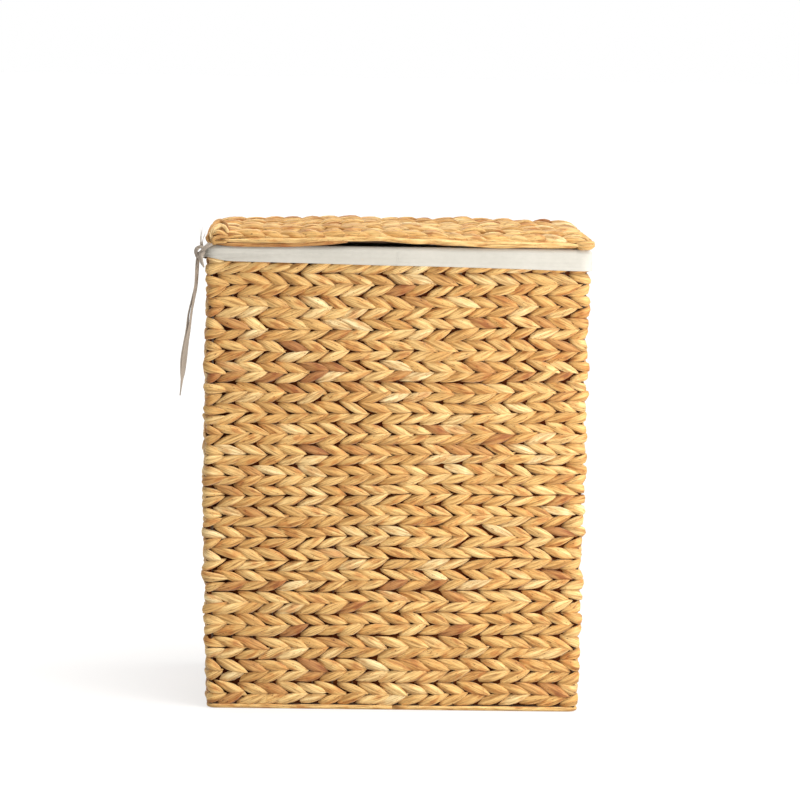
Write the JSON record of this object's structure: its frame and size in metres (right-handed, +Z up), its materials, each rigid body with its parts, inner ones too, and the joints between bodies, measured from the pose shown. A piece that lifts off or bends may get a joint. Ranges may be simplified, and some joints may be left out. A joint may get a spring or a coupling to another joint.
{
  "type": "lidded woven laundry basket",
  "caption": "Tall rectangular laundry basket woven from twined plant strands on a wire frame, with a turned-down cotton liner and a hinged woven lid.",
  "frame": {"origin": "on the floor, under the middle of the basket", "axes": "+Z up, +X to the right and -Y to the front when the front wall is looked at"},
  "size_m": [0.4867, 0.326, 0.5637],
  "materials": {
    "straw": "dry plant fibre, satin along the strand",
    "frame_wire": "dark satin",
    "liner_cotton": "plain woven cotton, matt",
    "tie_ribbon": "soft woven tape, matt",
    "loop_cord": "twisted fibre cord"
  },
  "bodies": {
    "root": {"front_wire_grille": "frame_wire", "front_weave": "straw", "base_border_front": "straw", "rim_wrap_front": "straw", "liner_front": "liner_cotton", "liner_cuff_front": "liner_cotton", "back_wire_grille": "frame_wire", "back_weave": "straw", "base_border_back": "straw", "rim_wrap_back": "straw", "liner_back": "liner_cotton", "liner_cuff_back": "liner_cotton", "left_wire_grille": "frame_wire", "left_weave": "straw", "base_border_left": "straw", "rim_wrap_left": "straw", "liner_left": "liner_cotton", "liner_cuff_left": "liner_cotton", "right_wire_grille": "frame_wire", "right_weave": "straw", "base_border_right": "straw", "rim_wrap_right": "straw", "liner_right": "liner_cotton", "liner_cuff_right": "liner_cotton", "corner_post_front_left": "frame_wire", "corner_post_front_right": "frame_wire", "corner_post_back_left": "frame_wire", "corner_post_back_right": "frame_wire", "base_weave": "straw", "base_wire_grid": "frame_wire", "liner_floor": "liner_cotton", "hinge_loop_left": "loop_cord", "hinge_loop_right": "loop_cord", "tie_knot": "tie_ribbon", "liner_tie": "tie_ribbon"},
    "lid": {"lid_border_front": "straw", "lid_border_back": "straw", "lid_border_left": "straw", "lid_border_right": "straw", "lid_wire_frame": "frame_wire", "lid_weave": "straw"}
  },
  "joints": [
    {"name": "lid_hinge", "type": "hinge", "parent": "root", "child": "lid", "pos_m": [0, 0.154, 0.5577], "axis": [-1, 0, 0], "range_deg": [0, 180]}
  ]
}
